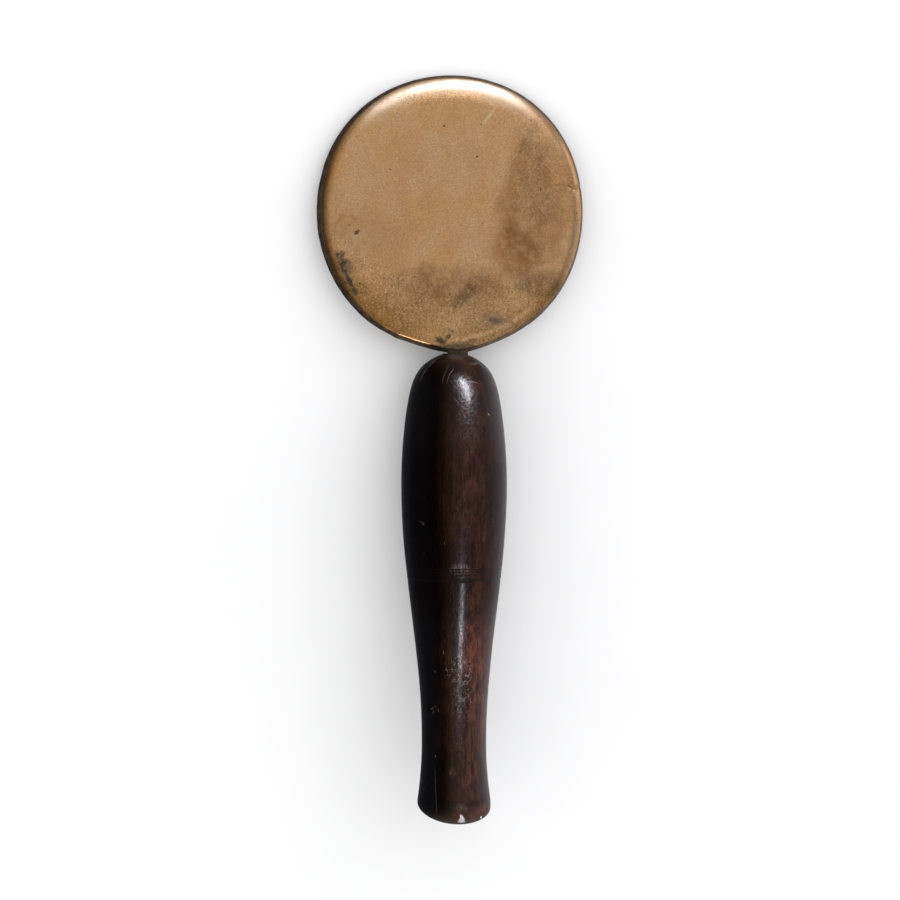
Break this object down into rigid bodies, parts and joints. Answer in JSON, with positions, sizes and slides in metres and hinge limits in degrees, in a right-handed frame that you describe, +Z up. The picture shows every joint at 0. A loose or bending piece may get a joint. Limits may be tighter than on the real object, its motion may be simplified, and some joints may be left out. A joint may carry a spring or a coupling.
{
  "type": "bronze hand mirror with a turned wooden handle",
  "caption": "Round cast bronze mirror disc, polished face with a rounded shoulder, its flat tang set in a turned hardwood handle; lies on its back.",
  "frame": {"origin": "middle of the mirror's bounding box, on the level surface that it lies on", "axes": "+Z up, out of the surface; +Y along the mirror from the handle's foot towards the disc; +X to the right of the polished face"},
  "size_m": [0.0968, 0.2676, 0.0483],
  "materials": {
    "bronze": "old bronze, softly polished, golden brown with darker stains, fine pitting and a little green corrosion",
    "hardwood": "very dark red-brown hardwood, worn to a gloss by the hand, with fine pores, scuffs and a drying crack"
  },
  "bodies": {
    "root": {"mirror_disc": "bronze", "handle": "hardwood"}
  },
  "joints": []
}
